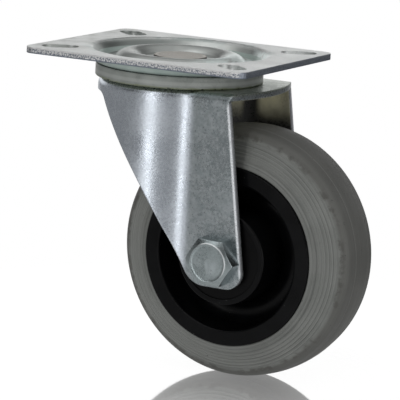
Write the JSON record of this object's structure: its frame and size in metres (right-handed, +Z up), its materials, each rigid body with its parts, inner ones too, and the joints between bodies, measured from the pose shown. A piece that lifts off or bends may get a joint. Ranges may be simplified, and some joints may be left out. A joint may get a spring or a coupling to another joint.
{
  "type": "swivel castor",
  "caption": "Swivel castor with a slotted rectangular top plate, a pressed steel fork on a double ball race, and a rubber-tyred wheel that rolls on a roller bearing.",
  "frame": {"origin": "centre of the top plate's upper face, on the swivel axis", "axes": "+Z up out of the plate's mounting face, +X towards the trailing wheel, Y along the axle"},
  "size_m": [0.135, 0.084, 0.128],
  "materials": {
    "plate_zinc": "bright zinc plating",
    "fork_zinc": "bright zinc plating with a faint blue tint",
    "cup_zinc": "zinc plating",
    "rivet_steel": "plated, slightly brown",
    "bolt_zinc": "zinc plating",
    "sleeve_steel": "drawn tube",
    "ball_steel": "polished and greased",
    "roller_steel": "ground and greased",
    "seal_plastic": "smooth greyish plastic",
    "insert_nylon": "smooth",
    "rim_plastic": "semi-gloss moulding",
    "cap_plastic": "fine matt moulding",
    "cage_plastic": "smooth",
    "tyre_rubber": "smooth grey rubber"
  },
  "bodies": {
    "plate": {"top_plate": "plate_zinc", "kingpin": "rivet_steel", "lower_bearing_cup": "cup_zinc"},
    "fork": {"fork": "fork_zinc", "dust_seal": "seal_plastic", "axle_bolt": "bolt_zinc", "axle_nut": "bolt_zinc", "nut_insert": "insert_nylon", "axle_sleeve": "sleeve_steel"},
    "wheel": {"wheel_rim": "rim_plastic", "tyre": "tyre_rubber", "hub_cap_front": "cap_plastic", "hub_cap_rear": "cap_plastic"},
    "upper_balls": {"upper_ball_01": "ball_steel", "upper_ball_02": "ball_steel", "upper_ball_03": "ball_steel", "upper_ball_04": "ball_steel", "upper_ball_05": "ball_steel", "upper_ball_06": "ball_steel", "upper_ball_07": "ball_steel", "upper_ball_08": "ball_steel", "upper_ball_09": "ball_steel", "upper_ball_10": "ball_steel", "upper_ball_11": "ball_steel", "upper_ball_12": "ball_steel", "upper_ball_13": "ball_steel", "upper_ball_14": "ball_steel", "upper_ball_15": "ball_steel", "upper_ball_16": "ball_steel", "upper_ball_17": "ball_steel", "upper_ball_18": "ball_steel", "upper_ball_19": "ball_steel", "upper_ball_20": "ball_steel"},
    "lower_balls": {"lower_ball_01": "ball_steel", "lower_ball_02": "ball_steel", "lower_ball_03": "ball_steel", "lower_ball_04": "ball_steel", "lower_ball_05": "ball_steel", "lower_ball_06": "ball_steel", "lower_ball_07": "ball_steel", "lower_ball_08": "ball_steel", "lower_ball_09": "ball_steel", "lower_ball_10": "ball_steel", "lower_ball_11": "ball_steel", "lower_ball_12": "ball_steel", "lower_ball_13": "ball_steel", "lower_ball_14": "ball_steel", "lower_ball_15": "ball_steel", "lower_ball_16": "ball_steel", "lower_ball_17": "ball_steel"},
    "rollers": {"roller_cage": "cage_plastic", "roller_1": "roller_steel", "roller_2": "roller_steel", "roller_3": "roller_steel", "roller_4": "roller_steel", "roller_5": "roller_steel", "roller_6": "roller_steel", "roller_7": "roller_steel", "roller_8": "roller_steel", "roller_9": "roller_steel"}
  },
  "joints": [
    {"name": "swivel", "type": "hinge", "parent": "plate", "child": "fork", "pos_m": [0, 0, 0], "axis": [0, 0, 1], "continuous": true},
    {"name": "wheel_spin", "type": "hinge", "parent": "fork", "child": "wheel", "pos_m": [0.035, 0, -0.077], "axis": [0, 1, 0], "continuous": true},
    {"name": "upper_balls_travel", "type": "hinge", "parent": "plate", "child": "upper_balls", "pos_m": [0, 0, 0], "axis": [0, 0, 1], "continuous": true},
    {"name": "lower_balls_travel", "type": "hinge", "parent": "plate", "child": "lower_balls", "pos_m": [0, 0, 0], "axis": [0, 0, 1], "continuous": true},
    {"name": "rollers_travel", "type": "hinge", "parent": "fork", "child": "rollers", "pos_m": [0.035, 0, -0.077], "axis": [0, 1, 0], "continuous": true}
  ],
  "couplings": [
    {"joint": "upper_balls_travel", "follows": "swivel", "ratio": 0.5},
    {"joint": "lower_balls_travel", "follows": "swivel", "ratio": 0.5},
    {"joint": "rollers_travel", "follows": "wheel_spin", "ratio": 0.6073}
  ]
}
